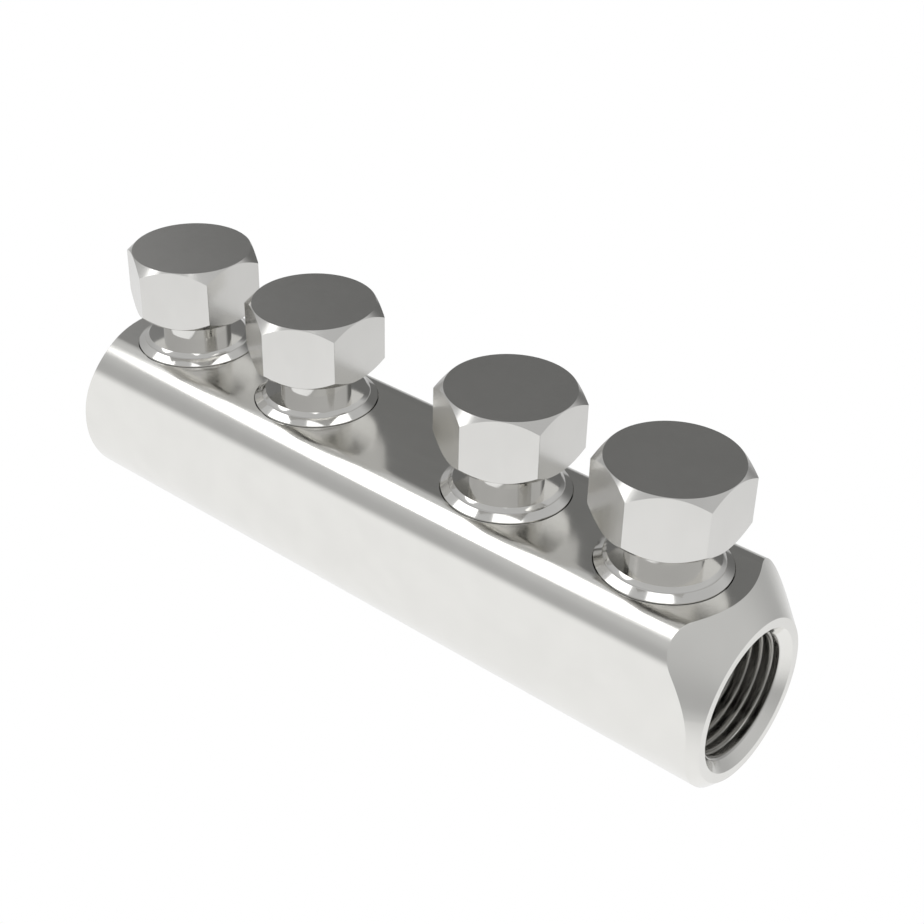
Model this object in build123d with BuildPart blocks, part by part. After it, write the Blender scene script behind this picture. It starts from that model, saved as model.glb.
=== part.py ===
"""Mechanical cable joint for two stranded conductors, with four shear-head clamping bolts.

The connector body is one machined bar: a flat top with rounded edges, upright sides and
a round underside that shares its centre line with the cable bores. A blind bore enters
from each end, and two bolts come down into each bore from above.

Frame: millimetres, +X along the bores, +Z up. The origin lies under the middle of the
body, level with its lowest line. The front side faces -Y.
"""

import math
import os

from build123d import *

# Cable bores
BORE_DIAMETER = 13.6
MOUTH_CHAMFER = 1.15
DRILL_POINT_ANGLE = 118.0
BORE_PAST_HOLE = 1.4
CENTRE_WEB = 2.9

# Walls of the connector body
UNDER_WALL = 3.2
TOP_WALL = 4.6
TOP_EDGE_RADIUS = 3.9
END_CHAMFER = 1.0
END_LAND = 4.45

# Tapped holes
THREAD_DIAMETER = 14.0
THREAD_CLEARANCE = 0.05
HOLE_EDGE_BREAK = 0.1
HOLE_GAP = 5.9

# Shear bolts
TIP_CHAMFER = 0.8
THREAD_RISE = 0.1
SHOULDER_BEVEL = 1.0
SHOULDER_BEVEL_HEIGHT = 0.65
SHEAR_NECK_DIAMETER = 8.0
HEAD_GAP = 4.8
HEAD_ACROSS_FLATS = 13.9
HEAD_HEIGHT = 7.3

# Heights
bore_radius = BORE_DIAMETER / 2
under_radius = bore_radius + UNDER_WALL
bore_height = under_radius
bore_roof = bore_height + bore_radius
top_height = bore_roof + TOP_WALL
head_bottom = top_height + HEAD_GAP
head_top = head_bottom + HEAD_HEIGHT

# Stations along the body, measured from its middle
thread_radius = THREAD_DIAMETER / 2
hole_radius = thread_radius + THREAD_CLEARANCE
point_depth = bore_radius / math.tan(math.radians(DRILL_POINT_ANGLE / 2))
bore_end = CENTRE_WEB / 2 + point_depth
inner_bolt = bore_end + BORE_PAST_HOLE + hole_radius
outer_bolt = inner_bolt + 2 * hole_radius + HOLE_GAP
half_length = outer_bolt + hole_radius + END_LAND
bolt_stations = [-outer_bolt, -inner_bolt, inner_bolt, outer_bolt]

bore_plane = Plane(origin=(0, 0, bore_height), x_dir=(1, 0, 0), z_dir=(0, -1, 0))
bore_axis = Axis((0, 0, bore_height), (1, 0, 0))


with BuildPart() as connector_body:
    # Bar stock: the section is an arch turned upside down
    with BuildSketch(Plane.YZ.offset(-half_length)):
        with BuildLine():
            top_edge = Line((under_radius, top_height), (-under_radius, top_height))
            left_side = Line(top_edge @ 1, (-under_radius, bore_height))
            underside = ThreePointArc(left_side @ 1, (0, 0), (under_radius, bore_height))
            Line(underside @ 1, top_edge @ 0)
        make_face()
        top_corners = vertices().group_by(Axis.Y)[-1]
        fillet(top_corners, radius=TOP_EDGE_RADIUS)
    extrude(amount=2 * half_length)

    # Both ends are turned down by a cone that runs true with the bore
    end_face_radius = under_radius - END_CHAMFER
    turned_radius = under_radius + TOP_WALL + bore_radius
    cone_length = turned_radius - end_face_radius
    with BuildSketch(bore_plane):
        with BuildLine():
            Polyline(
                (-half_length, 0),
                (-half_length, end_face_radius),
                (cone_length - half_length, turned_radius),
                (half_length - cone_length, turned_radius),
                (half_length, end_face_radius),
                (half_length, 0),
                close=True,
            )
        make_face()
    revolve(axis=bore_axis, mode=Mode.INTERSECT)

    # One blind bore from each end, drilled to a point, with a chamfered mouth
    mouth_radius = bore_radius + MOUTH_CHAMFER
    with BuildSketch(bore_plane) as bore_section:
        with BuildLine():
            Polyline(
                (CENTRE_WEB / 2, 0),
                (bore_end, bore_radius),
                (half_length - MOUTH_CHAMFER, bore_radius),
                (half_length, mouth_radius),
                (half_length, 0),
                close=True,
            )
        make_face()
        mirror(about=Plane.YZ)
    revolve(axis=bore_axis, mode=Mode.SUBTRACT)

    # Tapped holes from the flat top down to the middle of the bores
    for station in bolt_stations:
        with BuildSketch(Plane(origin=(station, 0, top_height))):
            Circle(hole_radius)
        extrude(amount=bore_height - top_height, mode=Mode.SUBTRACT)
    hole_rims = edges().filter_by(GeomType.CIRCLE).group_by(Axis.Z)[-1]
    chamfer(hole_rims, length=HOLE_EDGE_BREAK)

connector_body.part.label = "connector_body"


def make_shear_bolt(station, label):
    """One bolt: threaded shank with a flat bevelled shoulder, slim shear neck, hexagon head."""
    neck_radius = SHEAR_NECK_DIAMETER / 2
    flats_radius = HEAD_ACROSS_FLATS / 2
    corner_radius = flats_radius / math.cos(math.radians(30))
    head_chamfer = corner_radius - flats_radius
    thread_top = top_height + THREAD_RISE
    shoulder_height = thread_top + SHOULDER_BEVEL_HEIGHT
    turning_plane = Plane(origin=(station, 0, 0), x_dir=(1, 0, 0), z_dir=(0, -1, 0))
    turning_axis = Axis((station, 0, 0), (0, 0, 1))

    with BuildPart() as shear_bolt:
        # Hexagon bar with two flats square to the body's length
        with BuildSketch(Plane(origin=(station, 0, head_bottom))):
            RegularPolygon(radius=corner_radius, side_count=6, rotation=90)
        extrude(amount=HEAD_HEIGHT)

        # Both ends of the head are chamfered to the circle inside its flats
        with BuildSketch(turning_plane):
            with BuildLine():
                Polyline(
                    (0, head_bottom),
                    (flats_radius, head_bottom),
                    (corner_radius, head_bottom + head_chamfer),
                    (corner_radius, head_top - head_chamfer),
                    (flats_radius, head_top),
                    (0, head_top),
                    close=True,
                )
            make_face()
        revolve(axis=turning_axis, mode=Mode.INTERSECT)

        # Shank, from its chamfered tip level with the bore's roof up to the head
        with BuildSketch(turning_plane):
            with BuildLine():
                Polyline(
                    (0, bore_roof),
                    (thread_radius - TIP_CHAMFER, bore_roof),
                    (thread_radius, bore_roof + TIP_CHAMFER),
                    (thread_radius, thread_top),
                    (thread_radius - SHOULDER_BEVEL, shoulder_height),
                    (neck_radius, shoulder_height),
                    (neck_radius, head_bottom),
                    (0, head_bottom),
                    close=True,
                )
            make_face()
        revolve(axis=turning_axis)

    shear_bolt.part.label = label
    return shear_bolt.part


os.makedirs("parts", exist_ok=True)
export_step(connector_body.part, "parts/connector_body.step")
for number, station in enumerate(bolt_stations, start=1):
    bolt = make_shear_bolt(station, f"shear_bolt_{number}")
    export_step(bolt, f"parts/{bolt.label}.step")
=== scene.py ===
"""Mechanical cable joint: a machined connector body and four shear bolts, with their finishes."""

import math

import bpy
from mathutils import Matrix, Vector


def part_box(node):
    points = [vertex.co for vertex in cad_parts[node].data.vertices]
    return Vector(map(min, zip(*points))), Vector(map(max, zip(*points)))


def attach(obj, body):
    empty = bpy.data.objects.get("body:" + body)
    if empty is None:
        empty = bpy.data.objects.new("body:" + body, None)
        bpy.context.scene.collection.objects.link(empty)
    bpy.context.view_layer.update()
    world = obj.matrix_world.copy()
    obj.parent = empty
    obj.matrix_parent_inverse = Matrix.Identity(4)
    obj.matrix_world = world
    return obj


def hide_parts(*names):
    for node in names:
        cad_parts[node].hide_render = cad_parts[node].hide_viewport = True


bl_info = {
    "name": "Mechanical Cable Joint",
    "version": (1, 0, 0),
    "blender": (4, 5, 0),
    "location": "View3D > Sidebar > Cable Joint",
    "description": "Models a bolted cable joint around its CAD frame and lights it",
    "category": "Object",
}

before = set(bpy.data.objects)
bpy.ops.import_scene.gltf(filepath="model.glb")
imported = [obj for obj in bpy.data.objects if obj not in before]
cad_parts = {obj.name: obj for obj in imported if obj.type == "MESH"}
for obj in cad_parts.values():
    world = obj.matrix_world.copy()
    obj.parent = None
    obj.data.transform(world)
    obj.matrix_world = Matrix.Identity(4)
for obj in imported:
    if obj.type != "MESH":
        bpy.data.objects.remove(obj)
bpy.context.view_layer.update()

BODY_NODE = "connector_body"
BODY_GROUP = "connector"
BOLT_NODES = ["shear_bolt_1", "shear_bolt_2", "shear_bolt_3", "shear_bolt_4"]
BOLT_GROUPS = ["bolt_1", "bolt_2", "bolt_3", "bolt_4"]

body_low, body_high = (Vector(corner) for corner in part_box(BODY_NODE))
bolt_low, bolt_high = (Vector(corner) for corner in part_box(BOLT_NODES[0]))

BODY_LENGTH = body_high.x - body_low.x
BODY_WIDTH = body_high.y - body_low.y
BODY_HEIGHT = body_high.z - body_low.z
HEAD_TOP = bolt_high.z
TIP_HEIGHT = bolt_low.z

MILLIMETRE = 0.001
MERGE = 1e-7
QUARTER_TURN = math.pi / 2
FULL_TURN = 2 * math.pi
DRILL_POINT_HALF_ANGLE = 59
SHARP_EDGE_ANGLE = 28

# Facets round each turned shape
BAR_FACETS = 256
HEAD_FACETS = 240
TURNED_FACETS = 192
OPENING_FACETS = 144
BOLT_THREAD_FACETS = 96
HOLE_FACETS = 72


def bolt_station(node):
    """Where a bolt's axis stands along the body."""
    low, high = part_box(node)
    return (low[0] + high[0]) / 2


def head_underside(bolts):
    """The height at which the hexagon heads start."""
    return HEAD_TOP - bolts.head_height


# ---- Sizes and colours that a user would change ----


class ConnectorSizes(bpy.types.PropertyGroup):
    """Sizes of the machined body"""

    bore_radius: bpy.props.FloatProperty(
        name="Bore radius", description="Radius at the crests inside the cable bores",
        default=0.0068, min=0.001, unit="LENGTH", subtype="DISTANCE", precision=5)
    groove_depth: bpy.props.FloatProperty(
        name="Groove depth", description="Depth of the gripping grooves in the bores",
        default=0.00025, min=0.00001, unit="LENGTH", subtype="DISTANCE", precision=5)
    groove_pitch: bpy.props.FloatProperty(
        name="Groove pitch", description="Distance from one gripping groove to the next",
        default=0.0012, min=0.0001, unit="LENGTH", subtype="DISTANCE", precision=5)
    groove_start: bpy.props.FloatProperty(
        name="Groove start", description="Share of a turn by which the grooves are turned",
        default=0.0, min=0.0, max=1.0, subtype="FACTOR")
    mouth_chamfer: bpy.props.FloatProperty(
        name="Mouth chamfer", description="Width of the chamfer at the mouth of each bore",
        default=0.00115, min=0.0, unit="LENGTH", subtype="DISTANCE", precision=5)
    web: bpy.props.FloatProperty(
        name="Middle web", description="Metal left between the points of the two bores",
        default=0.0029, min=0.0, unit="LENGTH", subtype="DISTANCE", precision=5)
    top_edge_radius: bpy.props.FloatProperty(
        name="Top edge radius", description="Radius of the two long edges of the flat top",
        default=0.0039, min=0.0, unit="LENGTH", subtype="DISTANCE", precision=5)
    end_chamfer: bpy.props.FloatProperty(
        name="End chamfer", description="Width that the end cone takes from the round underside",
        default=0.001, min=0.0, unit="LENGTH", subtype="DISTANCE", precision=5)
    edge_break: bpy.props.FloatProperty(
        name="Edge break", description="Width of the small bevel on machined edges",
        default=0.00007, min=0.0, unit="LENGTH", subtype="DISTANCE", precision=5)


class BoltSizes(bpy.types.PropertyGroup):
    """Sizes of the shear bolts and their tapped holes"""

    thread_radius: bpy.props.FloatProperty(
        name="Thread radius", description="Outer radius of the bolt's thread",
        default=0.00697, min=0.001, unit="LENGTH", subtype="DISTANCE", precision=5)
    thread_depth: bpy.props.FloatProperty(
        name="Thread depth", description="Depth of the thread from crest to root",
        default=0.00086, min=0.0001, unit="LENGTH", subtype="DISTANCE", precision=5)
    thread_pitch: bpy.props.FloatProperty(
        name="Thread pitch", description="Travel of the bolt in one turn",
        default=0.0015, min=0.0002, unit="LENGTH", subtype="DISTANCE", precision=5)
    thread_clearance: bpy.props.FloatProperty(
        name="Thread clearance", description="Gap between the bolt's thread and its hole",
        default=0.00008, min=0.0, unit="LENGTH", subtype="DISTANCE", precision=5)
    thread_start: bpy.props.FloatProperty(
        name="Thread start", description="Angle at which the thread leaves the shoulder",
        default=0.0, unit="ROTATION", subtype="ANGLE")
    shoulder_radius: bpy.props.FloatProperty(
        name="Shoulder radius", description="Radius of the flat shoulder inside its bevel",
        default=0.00574, min=0.001, unit="LENGTH", subtype="DISTANCE", precision=5)
    shoulder_rise: bpy.props.FloatProperty(
        name="Shoulder rise", description="Height of the flat shoulder above the body",
        default=0.00117, min=0.0, unit="LENGTH", subtype="DISTANCE", precision=5)
    neck_radius: bpy.props.FloatProperty(
        name="Neck radius", description="Radius of the slim neck where the head shears off",
        default=0.004, min=0.001, unit="LENGTH", subtype="DISTANCE", precision=5)
    tip_chamfer: bpy.props.FloatProperty(
        name="Tip chamfer", description="Chamfer at the lower end of the thread",
        default=0.0008, min=0.0, unit="LENGTH", subtype="DISTANCE", precision=5)
    across_flats: bpy.props.FloatProperty(
        name="Across flats", description="Width of the hexagon from flat to flat",
        default=0.0139, min=0.001, unit="LENGTH", subtype="DISTANCE", precision=5)
    head_height: bpy.props.FloatProperty(
        name="Head height", description="Height of the hexagon head",
        default=0.0073, min=0.001, unit="LENGTH", subtype="DISTANCE", precision=5)


class FinishSettings(bpy.types.PropertyGroup):
    """Colours and gloss of the tin plating"""

    body_color: bpy.props.FloatVectorProperty(
        name="Body tin", description="Reflected colour of the plating on the body",
        default=(0.86, 0.853, 0.825), size=3, min=0.0, max=1.0, subtype="COLOR")
    body_roughness: bpy.props.FloatProperty(
        name="Body roughness", description="How much the body's plating blurs a reflection",
        default=0.16, min=0.0, max=1.0, subtype="FACTOR")
    bolt_color: bpy.props.FloatVectorProperty(
        name="Bolt tin", description="Reflected colour of the plating on the bolts",
        default=(0.805, 0.798, 0.777), size=3, min=0.0, max=1.0, subtype="COLOR")
    bolt_roughness: bpy.props.FloatProperty(
        name="Shank roughness", description="How much the turned shank blurs a reflection",
        default=0.09, min=0.0, max=1.0, subtype="FACTOR")
    head_roughness: bpy.props.FloatProperty(
        name="Head roughness", description="How much the hexagon head blurs a reflection",
        default=0.19, min=0.0, max=1.0, subtype="FACTOR")


class StudioSettings(bpy.types.PropertyGroup):
    """Floor, surroundings and lamp"""

    floor_drop: bpy.props.FloatProperty(
        name="Floor drop", description="Distance from the underside of the joint to the floor",
        default=0.3, min=0.0, unit="LENGTH", subtype="DISTANCE")
    floor_tone: bpy.props.FloatProperty(
        name="Floor tone", description="Brightness of the floor as the metal mirrors it",
        default=0.94, min=0.0, max=1.0, subtype="FACTOR")
    key_power: bpy.props.FloatProperty(
        name="Key power", description="Power of the soft lamp in front of the joint",
        default=3.5, min=0.0, unit="POWER")
    top_power: bpy.props.FloatProperty(
        name="Top power", description="Power of the soft lamp above the joint",
        default=2.9, min=0.0, unit="POWER")


# ---- Modelling steps shared by the pieces ----


def begin_object(name):
    """A single point in edit mode, ready to be drawn from."""
    bpy.ops.object.select_all(action="DESELECT")
    bpy.ops.mesh.primitive_plane_add(size=MILLIMETRE, location=(0, 0, 0))
    piece = bpy.context.object
    piece.name = name
    piece.data.name = name
    bpy.ops.object.mode_set(mode="EDIT")
    bpy.ops.mesh.select_all(action="SELECT")
    bpy.ops.mesh.merge(type="CENTER")
    return piece


def draw_line(name, points):
    """Draws an open line through the points and leaves it in edit mode."""
    piece = begin_object(name)
    bpy.ops.transform.translate(value=points[0])
    for start, end in zip(points, points[1:]):
        step = Vector(end) - Vector(start)
        bpy.ops.mesh.extrude_region_move(TRANSFORM_OT_translate={"value": step})
    bpy.ops.mesh.select_all(action="SELECT")
    return piece


def close_up(piece):
    """Merges doubles, turns the faces outwards and leaves edit mode."""
    bpy.ops.mesh.select_all(action="SELECT")
    bpy.ops.mesh.remove_doubles(threshold=10 * MERGE)
    bpy.ops.mesh.normals_make_consistent(inside=False)
    bpy.ops.object.mode_set(mode="OBJECT")
    return piece


def turn_on_lathe(name, points, centre, axis, steps):
    """Spins a line of (x, y, z) points once round an axis into a closed solid."""
    piece = draw_line(name, points)
    bpy.ops.mesh.spin(steps=steps, angle=FULL_TURN, center=centre, axis=axis)
    return close_up(piece)


def slice_off(plane_point, plane_normal):
    """In edit mode, cuts away what lies beyond a plane and fills the cut."""
    bpy.ops.mesh.select_all(action="SELECT")
    bpy.ops.mesh.bisect(
        plane_co=plane_point, plane_no=plane_normal, use_fill=True,
        clear_outer=True, threshold=MERGE)


def v_thread(crest, root, pitch):
    """One pitch of a 60 degree thread as (height, radius) points."""
    flank = abs(crest - root) * math.tan(math.radians(30))
    crest_land = pitch / 8
    root_land = pitch - crest_land - 2 * flank
    return [
        (0, root),
        (root_land, root),
        (root_land + flank, crest),
        (root_land + flank + crest_land, crest),
        (pitch, root),
    ]


def raked_groove(radius, depth, pitch):
    """One pitch of a groove with a steep wall facing the mouth, as (height, radius) points."""
    shape = (
        (0.0, 0.0), (0.03, 0.0), (0.05, 0.6), (0.08, 0.88), (0.14, 1.0), (0.4, 1.0),
        (0.62, 0.84), (0.82, 0.5), (1.0, 0.0),
    )
    return [(share * pitch, radius + cut * depth) for share, cut in shape]


def cut_thread(name, one_pitch, start, end, steps, phase=0.0):
    """A closed threaded rod along +Z from start to end, from the profile of one pitch."""
    pitch = one_pitch[-1][0]
    spare_turns = 4
    turns_below = 2.5
    turns = math.ceil((end - start) / pitch) + spare_turns
    first = start - (turns_below - phase) * pitch
    piece = draw_line(name, [(radius, 0, first + height) for height, radius in one_pitch])
    bpy.ops.object.mode_set(mode="OBJECT")
    bpy.ops.object.modifier_add(type="SCREW")
    screw = piece.modifiers[-1]
    screw.axis = "Z"
    screw.screw_offset = pitch
    screw.iterations = turns
    screw.steps = steps
    screw.render_steps = steps
    screw.use_merge_vertices = False
    bpy.ops.object.modifier_apply(modifier=screw.name)
    bpy.ops.object.mode_set(mode="EDIT")
    bpy.ops.mesh.select_all(action="SELECT")
    bpy.ops.mesh.remove_doubles(threshold=10 * MERGE)
    slice_off((0, 0, start), (0, 0, -1))
    slice_off((0, 0, end), (0, 0, 1))
    return close_up(piece)


def place(piece, matrix):
    """Moves a piece's mesh, so that its object stays at the origin."""
    piece.data.transform(matrix)
    return piece


def copy_piece(piece, name):
    """A copy with its own mesh."""
    twin = piece.copy()
    twin.data = piece.data.copy()
    twin.name = name
    twin.data.name = name
    bpy.context.collection.objects.link(twin)
    return twin


def pick(piece):
    """Makes one object the only selected and active one."""
    bpy.ops.object.select_all(action="DESELECT")
    piece.select_set(True)
    bpy.context.view_layer.objects.active = piece


def combine(piece, tool, operation):
    """Cuts, joins or trims a closed piece with a closed tool, which is then thrown away.

    The manifold solver gives the same closed mesh on every run."""
    pick(piece)
    bpy.ops.object.modifier_add(type="BOOLEAN")
    boolean = piece.modifiers[-1]
    boolean.operation = operation
    boolean.solver = "MANIFOLD"
    boolean.object = tool
    bpy.ops.object.modifier_apply(modifier=boolean.name)
    bpy.data.objects.remove(tool)
    if len(piece.data.polygons) == 0:
        raise RuntimeError(f"{operation} left nothing of {piece.name}")


def soften_edges(piece, width, angle):
    """A small bevel on every edge sharper than the angle."""
    pick(piece)
    bpy.ops.object.modifier_add(type="BEVEL")
    bevel = piece.modifiers[-1]
    bevel.width = width
    bevel.segments = 2
    bevel.limit_method = "ANGLE"
    bevel.angle_limit = math.radians(angle)
    bpy.ops.object.modifier_apply(modifier=bevel.name)


def finish_shading(piece):
    """Smooth faces with crisp edges, and flats that stay flat."""
    pick(piece)
    bpy.ops.object.shade_smooth_by_angle(angle=math.radians(SHARP_EDGE_ANGLE))
    bpy.ops.object.modifier_add(type="WEIGHTED_NORMAL")
    weighted = piece.modifiers[-1]
    weighted.keep_sharp = True
    weighted.weight = 100
    bpy.ops.object.modifier_apply(modifier=weighted.name)


def give_material(piece, material):
    """Leaves a piece with this material alone."""
    piece.data.materials.clear()
    piece.data.materials.append(material)


# ---- Finishes ----

# Gloss and tone of the plating, as shares of its roughness and colour
GLOSSIEST = 0.9
DULLEST = 1.12
CLOUD_SHADE = 0.975
CLOUD_SCALE = 220.0
# Painted shade: the colour to which the plating is darkened inside the bores
BORE_PAINTED_SHADE = (0.58, 0.573, 0.552, 1)


def tin_plating(name, color, roughness, grain_scale, grain_spread, head=None, bore=None):
    """Bright tin over machined metal, with faint tool marks and uneven gloss.

    head is the height above which the plating is duller, and its roughness there.
    bore is the height, radius and reach of the cable bores, inside which shade is painted into the
    colour."""
    material = bpy.data.materials.new(name)
    material.use_nodes = True
    tree = material.node_tree
    shader = tree.nodes["Principled BSDF"]
    shader.inputs["Metallic"].default_value = 1.0

    coordinates = tree.nodes.new("ShaderNodeTexCoord")
    spread = tree.nodes.new("ShaderNodeMapping")
    spread.inputs["Scale"].default_value = grain_spread
    tree.links.new(coordinates.outputs["Object"], spread.inputs["Vector"])

    marks = tree.nodes.new("ShaderNodeTexNoise")
    marks.inputs["Scale"].default_value = grain_scale
    marks.inputs["Detail"].default_value = 4.0
    marks.inputs["Roughness"].default_value = 0.6
    tree.links.new(spread.outputs["Vector"], marks.inputs["Vector"])

    gloss = tree.nodes.new("ShaderNodeMapRange")
    gloss.inputs["From Min"].default_value = 0.3
    gloss.inputs["From Max"].default_value = 0.7
    gloss.inputs["To Min"].default_value = roughness * GLOSSIEST
    gloss.inputs["To Max"].default_value = roughness * DULLEST
    tree.links.new(marks.outputs["Fac"], gloss.inputs["Value"])
    gloss_result = gloss.outputs["Result"]
    if head:
        head_height, head_roughness = head
        blur = 0.00002
        split = tree.nodes.new("ShaderNodeSeparateXYZ")
        tree.links.new(coordinates.outputs["Object"], split.inputs["Vector"])
        above = tree.nodes.new("ShaderNodeMapRange")
        above.inputs["From Min"].default_value = head_height - blur
        above.inputs["From Max"].default_value = head_height + blur
        above.inputs["To Min"].default_value = 1.0
        above.inputs["To Max"].default_value = head_roughness / roughness
        tree.links.new(split.outputs["Z"], above.inputs["Value"])
        duller = tree.nodes.new("ShaderNodeMath")
        duller.operation = "MULTIPLY"
        tree.links.new(gloss_result, duller.inputs[0])
        tree.links.new(above.outputs["Result"], duller.inputs[1])
        gloss_result = duller.outputs["Value"]
    tree.links.new(gloss_result, shader.inputs["Roughness"])

    clouds = tree.nodes.new("ShaderNodeTexNoise")
    clouds.inputs["Scale"].default_value = CLOUD_SCALE
    clouds.inputs["Detail"].default_value = 2.0
    tree.links.new(coordinates.outputs["Object"], clouds.inputs["Vector"])
    tone = tree.nodes.new("ShaderNodeValToRGB")
    tone.color_ramp.elements[0].position = 0.35
    tone.color_ramp.elements[0].color = (*[c * CLOUD_SHADE for c in color], 1)
    tone.color_ramp.elements[1].position = 0.65
    tone.color_ramp.elements[1].color = (*color, 1)
    tree.links.new(clouds.outputs["Fac"], tone.inputs["Fac"])
    plating = tone.outputs["Color"]
    # Painted shade inside the bores
    if bore:
        plating = paint_bore_shade(tree, coordinates, plating, *bore)
    tree.links.new(plating, shader.inputs["Base Color"])
    return material


def paint_bore_shade(tree, coordinates, plating, axis_height, radius, reach):
    """Paints shade into a colour inside a radius round the bore line, up to a reach along it."""
    def limit(value, edge, soft):
        """Rises from 0 to 1 as a value passes an edge."""
        step = tree.nodes.new("ShaderNodeMapRange")
        step.inputs["From Min"].default_value = edge - soft
        step.inputs["From Max"].default_value = edge + soft
        tree.links.new(value, step.inputs["Value"])
        return step.outputs["Result"]

    centred = tree.nodes.new("ShaderNodeMapping")
    centred.inputs["Location"].default_value = (0, 0, -axis_height)
    tree.links.new(coordinates.outputs["Object"], centred.inputs["Vector"])
    across = tree.nodes.new("ShaderNodeVectorMath")
    across.operation = "MULTIPLY"
    across.inputs[1].default_value = (0, 1, 1)
    tree.links.new(centred.outputs["Vector"], across.inputs[0])
    distance = tree.nodes.new("ShaderNodeVectorMath")
    distance.operation = "LENGTH"
    tree.links.new(across.outputs["Vector"], distance.inputs[0])
    split = tree.nodes.new("ShaderNodeSeparateXYZ")
    tree.links.new(centred.outputs["Vector"], split.inputs["Vector"])
    along = tree.nodes.new("ShaderNodeMath")
    along.operation = "ABSOLUTE"
    tree.links.new(split.outputs["X"], along.inputs[0])
    outside = tree.nodes.new("ShaderNodeMath")
    outside.operation = "MAXIMUM"
    tree.links.new(limit(distance.outputs["Value"], radius, 0.0001), outside.inputs[0])
    tree.links.new(limit(along.outputs["Value"], reach, 0.00005), outside.inputs[1])
    # Mixes in the painted shade inside the bores
    mix = tree.nodes.new("ShaderNodeMix")
    mix.data_type = "RGBA"
    mix.inputs["A"].default_value = BORE_PAINTED_SHADE
    tree.links.new(outside.outputs["Value"], mix.inputs["Factor"])
    tree.links.new(plating, mix.inputs["B"])
    return mix.outputs["Result"]


def grey_ramp(tree, stops):
    """A colour ramp through (position, grey) stops, which are given in rising order."""
    ramp = tree.nodes.new("ShaderNodeValToRGB")
    elements = ramp.color_ramp.elements
    elements[0].position = stops[0][0]
    elements[1].position = stops[-1][0]
    for position, grey in stops[1:-1]:
        elements.new(position)
    for element, (position, grey) in zip(elements, stops):
        element.color = (grey, grey, grey, 1)
    return ramp


# ---- Pieces ----


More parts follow.
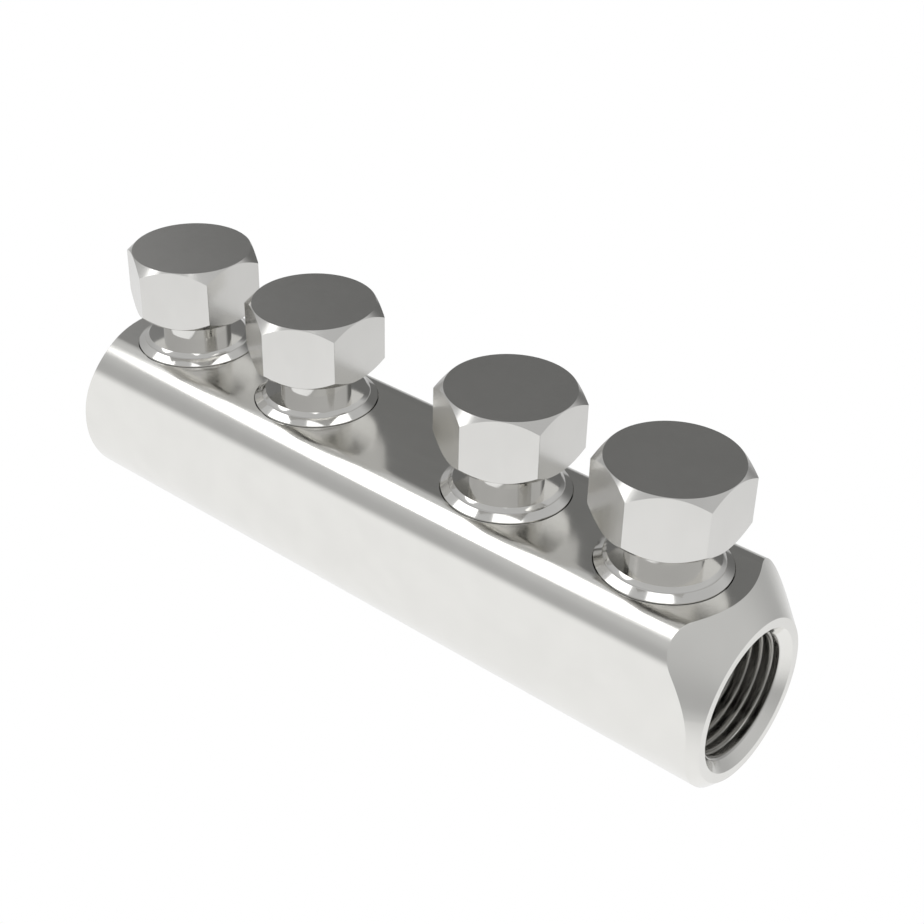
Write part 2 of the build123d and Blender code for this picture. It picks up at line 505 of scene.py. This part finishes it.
class CABLEJOINT_OT_connector_body(bpy.types.Operator):
    """Models the machined body with its grooved bores and tapped holes"""

    bl_idname = "cable_joint.connector_body"
    bl_label = "Connector Body"
    bl_options = {"REGISTER", "UNDO"}

    def execute(self, context):
        sizes = context.scene.connector_sizes
        bolts = context.scene.bolt_sizes
        finish = context.scene.finish_settings
        axis_height = BODY_WIDTH / 2
        half = BODY_LENGTH / 2

        bar = self.draw_bar(sizes, axis_height, half)
        self.turn_ends(bar, sizes, axis_height, half)
        soften_edges(bar, sizes.edge_break, angle=25)
        self.bore_ends(bar, sizes, axis_height, half)
        for node in BOLT_NODES:
            hole = self.tap_hole(bolts, axis_height, bolt_station(node))
            combine(bar, hole, "DIFFERENCE")
        finish_shading(bar)

        # Painted shade inside the bores, out to this radius and along to this reach
        bore_shade_radius = sizes.bore_radius + 0.0008
        bore_shade_reach = half - 0.00092
        give_material(bar, tin_plating(
            "tinned_body", finish.body_color, finish.body_roughness,
            grain_scale=900.0, grain_spread=(0.15, 1.0, 1.0),
            bore=(axis_height, bore_shade_radius, bore_shade_reach)))
        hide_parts(BODY_NODE)
        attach(bar, BODY_GROUP)
        return {"FINISHED"}

    def draw_bar(self, sizes, axis_height, half):
        """The bar stock: an arch turned upside down, pulled out along the body."""
        bpy.ops.object.select_all(action="DESELECT")
        bpy.ops.mesh.primitive_circle_add(
            vertices=BAR_FACETS, radius=axis_height, fill_type="NOTHING",
            location=(0, 0, 0), rotation=(0, 0, 0))
        bar = bpy.context.object
        bar.name = "body_of_joint"
        bar.data.name = "body_of_joint"
        across = Matrix.Rotation(QUARTER_TURN, 4, "Y")
        place(bar, Matrix.Translation((-half, 0, axis_height)) @ across)
        bpy.ops.object.mode_set(mode="EDIT")
        bpy.ops.mesh.select_all(action="DESELECT")
        bpy.ops.object.mode_set(mode="OBJECT")
        for vertex in bar.data.vertices:
            vertex.select = vertex.co.z > axis_height + MERGE * 10
        bpy.ops.object.mode_set(mode="EDIT")
        bpy.ops.mesh.delete(type="VERT")
        bpy.ops.object.mode_set(mode="OBJECT")
        for vertex in bar.data.vertices:
            vertex.select = vertex.co.z > axis_height - MERGE * 10
        bpy.ops.object.mode_set(mode="EDIT")
        rise = BODY_HEIGHT - axis_height
        bpy.ops.mesh.extrude_region_move(TRANSFORM_OT_translate={"value": (0, 0, rise)})
        bpy.ops.mesh.edge_face_add()
        bpy.ops.mesh.bevel(
            offset=sizes.top_edge_radius, offset_type="OFFSET", segments=40,
            profile=0.5, affect="VERTICES", clamp_overlap=False)
        bpy.ops.mesh.select_all(action="SELECT")
        bpy.ops.mesh.edge_face_add()
        bpy.ops.mesh.select_all(action="SELECT")
        bpy.ops.mesh.extrude_region_move(TRANSFORM_OT_translate={"value": (2 * half, 0, 0)})
        return close_up(bar)

    def turn_ends(self, bar, sizes, axis_height, half):
        """Trims the bar to a double cone that runs true with the bores."""
        face = axis_height - sizes.end_chamfer
        reach = half * 0.6
        points = [
            (-half, 0, axis_height),
            (-half, 0, axis_height + face),
            (reach - half, 0, axis_height + face + reach),
            (half - reach, 0, axis_height + face + reach),
            (half, 0, axis_height + face),
            (half, 0, axis_height),
        ]
        envelope = turn_on_lathe(
            "end_cones", points, (0, 0, axis_height), (1, 0, 0), BAR_FACETS)
        combine(bar, envelope, "INTERSECT")

    def bore_ends(self, bar, sizes, axis_height, half):
        """Drills, grooves and chamfers a bore in each end."""
        groove = raked_groove(sizes.bore_radius, sizes.groove_depth, sizes.groove_pitch)
        point_depth = sizes.bore_radius / math.tan(math.radians(DRILL_POINT_HALF_ANGLE))
        start = sizes.web / 2 + point_depth
        drill_radius = sizes.bore_radius - 0.00001
        drill_end = half + 0.001
        grooves_end = half + 0.0005
        drill = [
            (0, 0, sizes.web / 2),
            (drill_radius, 0, start),
            (drill_radius, 0, drill_end),
            (0, 0, drill_end),
        ]
        mouth_run = sizes.mouth_chamfer
        mouth_radius = sizes.bore_radius + mouth_run
        mouth = [
            (0, 0, half - mouth_run),
            (sizes.bore_radius, 0, half - mouth_run),
            (mouth_radius, 0, half),
            (mouth_radius + mouth_run, 0, half + mouth_run),
            (0, 0, half + mouth_run),
        ]
        along = Matrix.Translation((0, 0, axis_height)) @ Matrix.Rotation(QUARTER_TURN, 4, "Y")
        for side in (1, -1):
            aim = Matrix.Rotation(0 if side == 1 else math.pi, 4, "Z") @ along
            grooves = cut_thread(
                "bore_grooves", groove, start, grooves_end, HOLE_FACETS,
                phase=sizes.groove_start)
            combine(bar, place(grooves, aim), "DIFFERENCE")
            point = turn_on_lathe("drill", drill, (0, 0, 0), (0, 0, 1), HOLE_FACETS)
            combine(bar, place(point, aim), "DIFFERENCE")
            flare = turn_on_lathe("mouth", mouth, (0, 0, 0), (0, 0, 1), TURNED_FACETS)
            combine(bar, place(flare, aim), "DIFFERENCE")

    def tap_hole(self, bolts, axis_height, station):
        """The tapped hole for one bolt, in phase with the bolt's own thread.

        Its thread ends just below the flat top, under a plain round opening."""
        wall = bolts.thread_radius + bolts.thread_clearance
        thread_depth = 0.0005
        thread_end = BODY_HEIGHT - 0.0004
        hole = cut_thread(
            "tapped_hole", v_thread(wall + thread_depth, wall, bolts.thread_pitch),
            axis_height, thread_end, HOLE_FACETS, phase=thread_phase(bolts, axis_height))
        rim = wall + 0.00002
        edge_break = 0.00004
        lead = 0.0005
        opening = turn_on_lathe(
            "hole_opening",
            [
                (0, 0, thread_end - lead),
                (rim, 0, thread_end - lead),
                (rim, 0, BODY_HEIGHT - edge_break),
                (rim + edge_break + lead, 0, BODY_HEIGHT + lead),
                (0, 0, BODY_HEIGHT + lead),
            ],
            (0, 0, 0), (0, 0, 1), OPENING_FACETS)
        combine(hole, opening, "UNION")
        return place(hole, Matrix.Translation((station, 0, 0)))


def thread_phase(bolts, start):
    """The share of a pitch by which a thread from this height is shifted.

    It keeps the threads of the bolts and of their holes on one helix."""
    return -(start / bolts.thread_pitch) % 1.0 + bolts.thread_start / FULL_TURN


class CABLEJOINT_OT_shear_bolts(bpy.types.Operator):
    """Models one shear bolt and copies it to the four stations"""

    bl_idname = "cable_joint.shear_bolts"
    bl_label = "Shear Bolts"
    bl_options = {"REGISTER", "UNDO"}

    def execute(self, context):
        bolts = context.scene.bolt_sizes
        finish = context.scene.finish_settings
        material = tin_plating(
            "tinned_bolt", finish.bolt_color, finish.bolt_roughness,
            grain_scale=1400.0, grain_spread=(1.0, 1.0, 0.25),
            head=(head_underside(bolts) - 0.00005, finish.head_roughness))

        head = self.make_head(bolts)
        shank = self.make_shank(bolts)
        combine(head, shank, "UNION")
        finish_shading(head)
        give_material(head, material)

        for number, node in enumerate(BOLT_NODES, start=1):
            bolt = copy_piece(head, f"clamp_bolt_{number}")
            place(bolt, Matrix.Translation((bolt_station(node), 0, 0)))
            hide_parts(node)
            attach(bolt, BOLT_GROUPS[number - 1])
        bpy.data.objects.remove(head)
        return {"FINISHED"}

    def make_head(self, bolts):
        """A hexagon bar trimmed by a turned chamfer at both of its ends."""
        flats = bolts.across_flats / 2
        corners = flats / math.cos(math.radians(30))
        bottom = head_underside(bolts)
        bpy.ops.object.select_all(action="DESELECT")
        bpy.ops.mesh.primitive_cylinder_add(
            vertices=6, radius=corners, depth=bolts.head_height,
            location=(0, 0, 0), rotation=(0, 0, 0))
        head = bpy.context.object
        head.name = "hexagon_head"
        middle = bottom + bolts.head_height / 2
        place(head, Matrix.Translation((0, 0, middle)))
        soften_edges(head, 0.00005, angle=20)
        circle = flats - 0.00006
        chamfer = corners - circle
        margin = 0.0001
        trim = turn_on_lathe(
            "head_chamfer",
            [
                (0, 0, bottom),
                (circle, 0, bottom),
                (corners + margin, 0, bottom + chamfer + margin),
                (corners + margin, 0, HEAD_TOP - chamfer - margin),
                (circle, 0, HEAD_TOP),
                (0, 0, HEAD_TOP),
            ],
            (0, 0, 0), (0, 0, 1), HEAD_FACETS)
        combine(head, trim, "INTERSECT")
        return head

    def make_shank(self, bolts):
        """A threaded rod under a collar with two bevels, and the slim neck above it."""
        root = bolts.thread_radius - bolts.thread_depth
        shoulder = BODY_HEIGHT + bolts.shoulder_rise
        rim = bolts.thread_radius + 0.00003
        ledge = bolts.shoulder_radius + 0.00045
        bevel_foot = shoulder - 0.00103
        overshoot = 0.0003
        thread_start = TIP_HEIGHT - overshoot
        thread_end = bevel_foot - 0.00005
        shank = cut_thread(
            "threaded_shank", v_thread(bolts.thread_radius, root, bolts.thread_pitch),
            thread_start, thread_end, BOLT_THREAD_FACETS,
            phase=thread_phase(bolts, thread_start))
        trim_radius = 0.007
        margin = 0.0002
        tip = turn_on_lathe(
            "tip_trim",
            [
                (0, 0, TIP_HEIGHT),
                (trim_radius - bolts.tip_chamfer, 0, TIP_HEIGHT),
                (trim_radius + margin, 0, TIP_HEIGHT + bolts.tip_chamfer + margin),
                (trim_radius + margin, 0, shoulder + overshoot),
                (0, 0, shoulder + overshoot),
            ],
            (0, 0, 0), (0, 0, 1), TURNED_FACETS)
        combine(shank, tip, "INTERSECT")
        collar_base = bevel_foot - 0.0008
        neck_top = head_underside(bolts) + 0.001
        collar = turn_on_lathe(
            "collar_and_neck",
            [
                (0, 0, collar_base),
                (root - 0.00004, 0, collar_base),
                (rim, 0, bevel_foot - 0.0002),
                (rim, 0, bevel_foot),
                (ledge, 0, shoulder - 0.00051),
                (ledge - 0.00002, 0, shoulder - 0.00039),
                (ledge - 0.00008, 0, shoulder - 0.00031),
                (bolts.shoulder_radius, 0, shoulder),
                (bolts.neck_radius, 0, shoulder),
                (bolts.neck_radius, 0, neck_top),
                (0, 0, neck_top),
            ],
            (0, 0, 0), (0, 0, 1), TURNED_FACETS)
        combine(shank, collar, "UNION")
        return shank


# ---- Stage ----


class CABLEJOINT_OT_studio(bpy.types.Operator):
    """Sets the floor, the surroundings, the lamp and the camera"""

    bl_idname = "cable_joint.studio"
    bl_label = "Studio"
    bl_options = {"REGISTER", "UNDO"}

    def execute(self, context):
        studio = context.scene.studio_settings
        self.lay_floor(studio)
        self.paint_surroundings(context, studio)
        self.hang_lamp(
            context, "soft_key", "ELLIPSE", studio.key_power,
            outward=(-0.53, -0.22, 0.815), width=0.75, depth=1.28)
        self.hang_lamp(
            context, "soft_top", "RECTANGLE", studio.top_power,
            outward=(0.12, 0.06, 1.0), width=0.58, depth=1.36)
        self.set_camera(context)
        context.scene.view_settings.view_transform = "Standard"
        return {"FINISHED"}

    def lay_floor(self, studio):
        """A white floor, which glows in the metal's reflections as a painted pool of light round
        the joint, greyer further out.
        """
        bpy.ops.object.select_all(action="DESELECT")
        bpy.ops.mesh.primitive_plane_add(size=12, location=(0, 0, 0))
        floor = bpy.context.object
        floor.name = "floor"
        place(floor, Matrix.Translation((0, 0, -studio.floor_drop)))
        material = bpy.data.materials.new("pale_floor")
        material.use_nodes = True
        tree = material.node_tree
        tree.nodes.clear()
        output = tree.nodes.new("ShaderNodeOutputMaterial")
        paint = tree.nodes.new("ShaderNodeBsdfDiffuse")
        paint.inputs["Color"].default_value = (0.9, 0.9, 0.895, 1)
        coordinates = tree.nodes.new("ShaderNodeTexCoord")
        # The painted pool of light is centred off to the front left of the joint, so the floor
        # behind it is greyer
        aside = tree.nodes.new("ShaderNodeMapping")
        aside.inputs["Location"].default_value = (0.15, 0.17, 0)
        tree.links.new(coordinates.outputs["Object"], aside.inputs["Vector"])
        reach = tree.nodes.new("ShaderNodeVectorMath")
        reach.operation = "LENGTH"
        tree.links.new(aside.outputs["Vector"], reach.inputs[0])
        share = tree.nodes.new("ShaderNodeMapRange")
        share.inputs["From Min"].default_value = studio.floor_drop
        share.inputs["From Max"].default_value = studio.floor_drop * 10
        tree.links.new(reach.outputs["Value"], share.inputs["Value"])
        # Painted pool of light: brightness falls from the centre outwards
        pool = grey_ramp(tree, [
            (0.0, studio.floor_tone), (0.07, 0.94), (0.13, 0.87), (0.21, 0.76),
            (0.37, 0.6), (0.7, 0.49), (1.0, 0.46)])
        tree.links.new(share.outputs["Result"], pool.inputs["Fac"])
        # Glossy rays see the floor glow with the painted pool of light, camera rays see plain
        # white, other rays the diffuse paint
        painted_pool_glow = tree.nodes.new("ShaderNodeEmission")
        tree.links.new(pool.outputs["Color"], painted_pool_glow.inputs["Color"])
        seen = tree.nodes.new("ShaderNodeEmission")
        seen.inputs["Color"].default_value = (1, 1, 1, 1)
        light_path = tree.nodes.new("ShaderNodeLightPath")
        in_mirror = tree.nodes.new("ShaderNodeMixShader")
        by_eye = tree.nodes.new("ShaderNodeMixShader")
        tree.links.new(light_path.outputs["Is Glossy Ray"], in_mirror.inputs["Fac"])
        tree.links.new(paint.outputs["BSDF"], in_mirror.inputs[1])
        tree.links.new(painted_pool_glow.outputs["Emission"], in_mirror.inputs[2])
        tree.links.new(light_path.outputs["Is Camera Ray"], by_eye.inputs["Fac"])
        tree.links.new(in_mirror.outputs["Shader"], by_eye.inputs[1])
        tree.links.new(seen.outputs["Emission"], by_eye.inputs[2])
        tree.links.new(by_eye.outputs["Shader"], output.inputs["Surface"])
        give_material(floor, material)

    def paint_surroundings(self, context, studio):
        """A white room, which the metal mirrors as grey walls with a darker patch behind."""
        world = bpy.data.worlds.new("studio_room")
        context.scene.world = world
        world.use_nodes = True
        tree = world.node_tree
        tree.nodes.clear()
        output = tree.nodes.new("ShaderNodeOutputWorld")
        coordinates = tree.nodes.new("ShaderNodeTexCoord")
        rise = tree.nodes.new("ShaderNodeVectorMath")
        rise.operation = "DOT_PRODUCT"
        rise.inputs[1].default_value = (0.12, 0, 1)
        tree.links.new(coordinates.outputs["Generated"], rise.inputs[0])
        height = tree.nodes.new("ShaderNodeMapRange")
        height.inputs["From Min"].default_value = -1.0
        height.inputs["From Max"].default_value = 1.0
        tree.links.new(rise.outputs["Value"], height.inputs["Value"])
        walls = grey_ramp(tree, [
            (0.0, studio.floor_tone), (0.4, 0.455), (0.55, 0.455), (0.6, 0.47), (0.65, 0.5),
            (0.7, 0.54), (0.76, 0.57), (0.8, 0.585), (0.88, 0.55), (1.0, 0.53)])
        tree.links.new(height.outputs["Result"], walls.inputs["Fac"])

        flag_direction = Vector((-0.36, 0.88, 0.31)).normalized()
        towards_flag = tree.nodes.new("ShaderNodeVectorMath")
        towards_flag.operation = "DOT_PRODUCT"
        towards_flag.inputs[1].default_value = flag_direction
        tree.links.new(coordinates.outputs["Generated"], towards_flag.inputs[0])
        flag_edge = tree.nodes.new("ShaderNodeMapRange")
        flag_edge.interpolation_type = "SMOOTHSTEP"
        flag_edge.inputs["From Min"].default_value = 0.74
        flag_edge.inputs["From Max"].default_value = 0.93
        tree.links.new(towards_flag.outputs["Value"], flag_edge.inputs["Value"])
        room = tree.nodes.new("ShaderNodeMix")
        room.data_type = "RGBA"
        room.inputs["B"].default_value = (0.16, 0.16, 0.158, 1)
        tree.links.new(flag_edge.outputs["Result"], room.inputs["Factor"])
        tree.links.new(walls.outputs["Color"], room.inputs["A"])

        lit = tree.nodes.new("ShaderNodeBackground")
        tree.links.new(room.outputs["Result"], lit.inputs["Color"])
        seen = tree.nodes.new("ShaderNodeBackground")
        seen.inputs["Color"].default_value = (1, 1, 1, 1)
        light_path = tree.nodes.new("ShaderNodeLightPath")
        choose = tree.nodes.new("ShaderNodeMixShader")
        tree.links.new(light_path.outputs["Is Camera Ray"], choose.inputs["Fac"])
        tree.links.new(lit.outputs["Background"], choose.inputs[1])
        tree.links.new(seen.outputs["Background"], choose.inputs[2])
        tree.links.new(choose.outputs["Shader"], output.inputs["Surface"])

    def hang_lamp(self, context, name, shape, power, outward, width, depth):
        """A flat soft box in the given direction, facing the joint."""
        distance = 1.6
        lamp = bpy.data.lights.new(name, "AREA")
        lamp.shape = shape
        lamp.size = width
        lamp.size_y = depth
        lamp.energy = power
        holder = bpy.data.objects.new(name, lamp)
        context.collection.objects.link(holder)
        outward = Vector(outward).normalized()
        across = (Vector((1, 0, 0)) - outward * outward.x).normalized()
        upward = outward.cross(across)
        holder.location = outward * distance
        holder.rotation_mode = "QUATERNION"
        holder.rotation_quaternion = Matrix((across, upward, outward)).transposed().to_quaternion()

    def set_camera(self, context):
        """The camera at the photograph's viewing angle."""
        camera = bpy.data.cameras.new("photo_camera")
        holder = bpy.data.objects.new("photo_camera", camera)
        context.collection.objects.link(holder)
        context.scene.camera = holder
        holder.location = (0.10240, -0.11487, 0.11714)
        turn = Matrix.Rotation(math.radians(39.466), 3, "Z")
        tilt = Matrix.Rotation(math.radians(57.347), 3, "X")
        roll = Matrix.Rotation(math.radians(1.5286), 3, "Z")
        holder.rotation_mode = "QUATERNION"
        holder.rotation_quaternion = (turn @ tilt @ roll).to_quaternion()
        camera.lens = 64.23
        camera.sensor_width = 36
        camera.clip_start = 0.005


class CABLEJOINT_PT_sidebar(bpy.types.Panel):
    """Lists the pieces of the cable joint and their settings"""

    bl_idname = "CABLEJOINT_PT_sidebar"
    bl_label = "Cable Joint"
    bl_space_type = "VIEW_3D"
    bl_region_type = "UI"
    bl_category = "Cable Joint"

    def draw(self, context):
        layout = self.layout
        scene = context.scene
        for title, settings in (
            ("Body", scene.connector_sizes),
            ("Bolts", scene.bolt_sizes),
            ("Finish", scene.finish_settings),
            ("Studio", scene.studio_settings),
        ):
            box = layout.box()
            box.label(text=title)
            for name in settings.bl_rna.properties.keys():
                if name not in ("rna_type", "name"):
                    box.prop(settings, name)
        for operator in PIECES:
            layout.operator(operator.bl_idname)


SETTINGS = [ConnectorSizes, BoltSizes, FinishSettings, StudioSettings]
PIECES = [CABLEJOINT_OT_connector_body, CABLEJOINT_OT_shear_bolts, CABLEJOINT_OT_studio]
CLASSES = SETTINGS + PIECES + [CABLEJOINT_PT_sidebar]


def register():
    for item in CLASSES:
        bpy.utils.register_class(item)
    bpy.types.Scene.connector_sizes = bpy.props.PointerProperty(type=ConnectorSizes)
    bpy.types.Scene.bolt_sizes = bpy.props.PointerProperty(type=BoltSizes)
    bpy.types.Scene.finish_settings = bpy.props.PointerProperty(type=FinishSettings)
    bpy.types.Scene.studio_settings = bpy.props.PointerProperty(type=StudioSettings)


def unregister():
    del bpy.types.Scene.studio_settings
    del bpy.types.Scene.finish_settings
    del bpy.types.Scene.bolt_sizes
    del bpy.types.Scene.connector_sizes
    for item in reversed(CLASSES):
        bpy.utils.unregister_class(item)


def main():
    register()
    bpy.ops.cable_joint.connector_body()
    bpy.ops.cable_joint.shear_bolts()
    bpy.ops.cable_joint.studio()


if __name__ == "__main__":
    main()
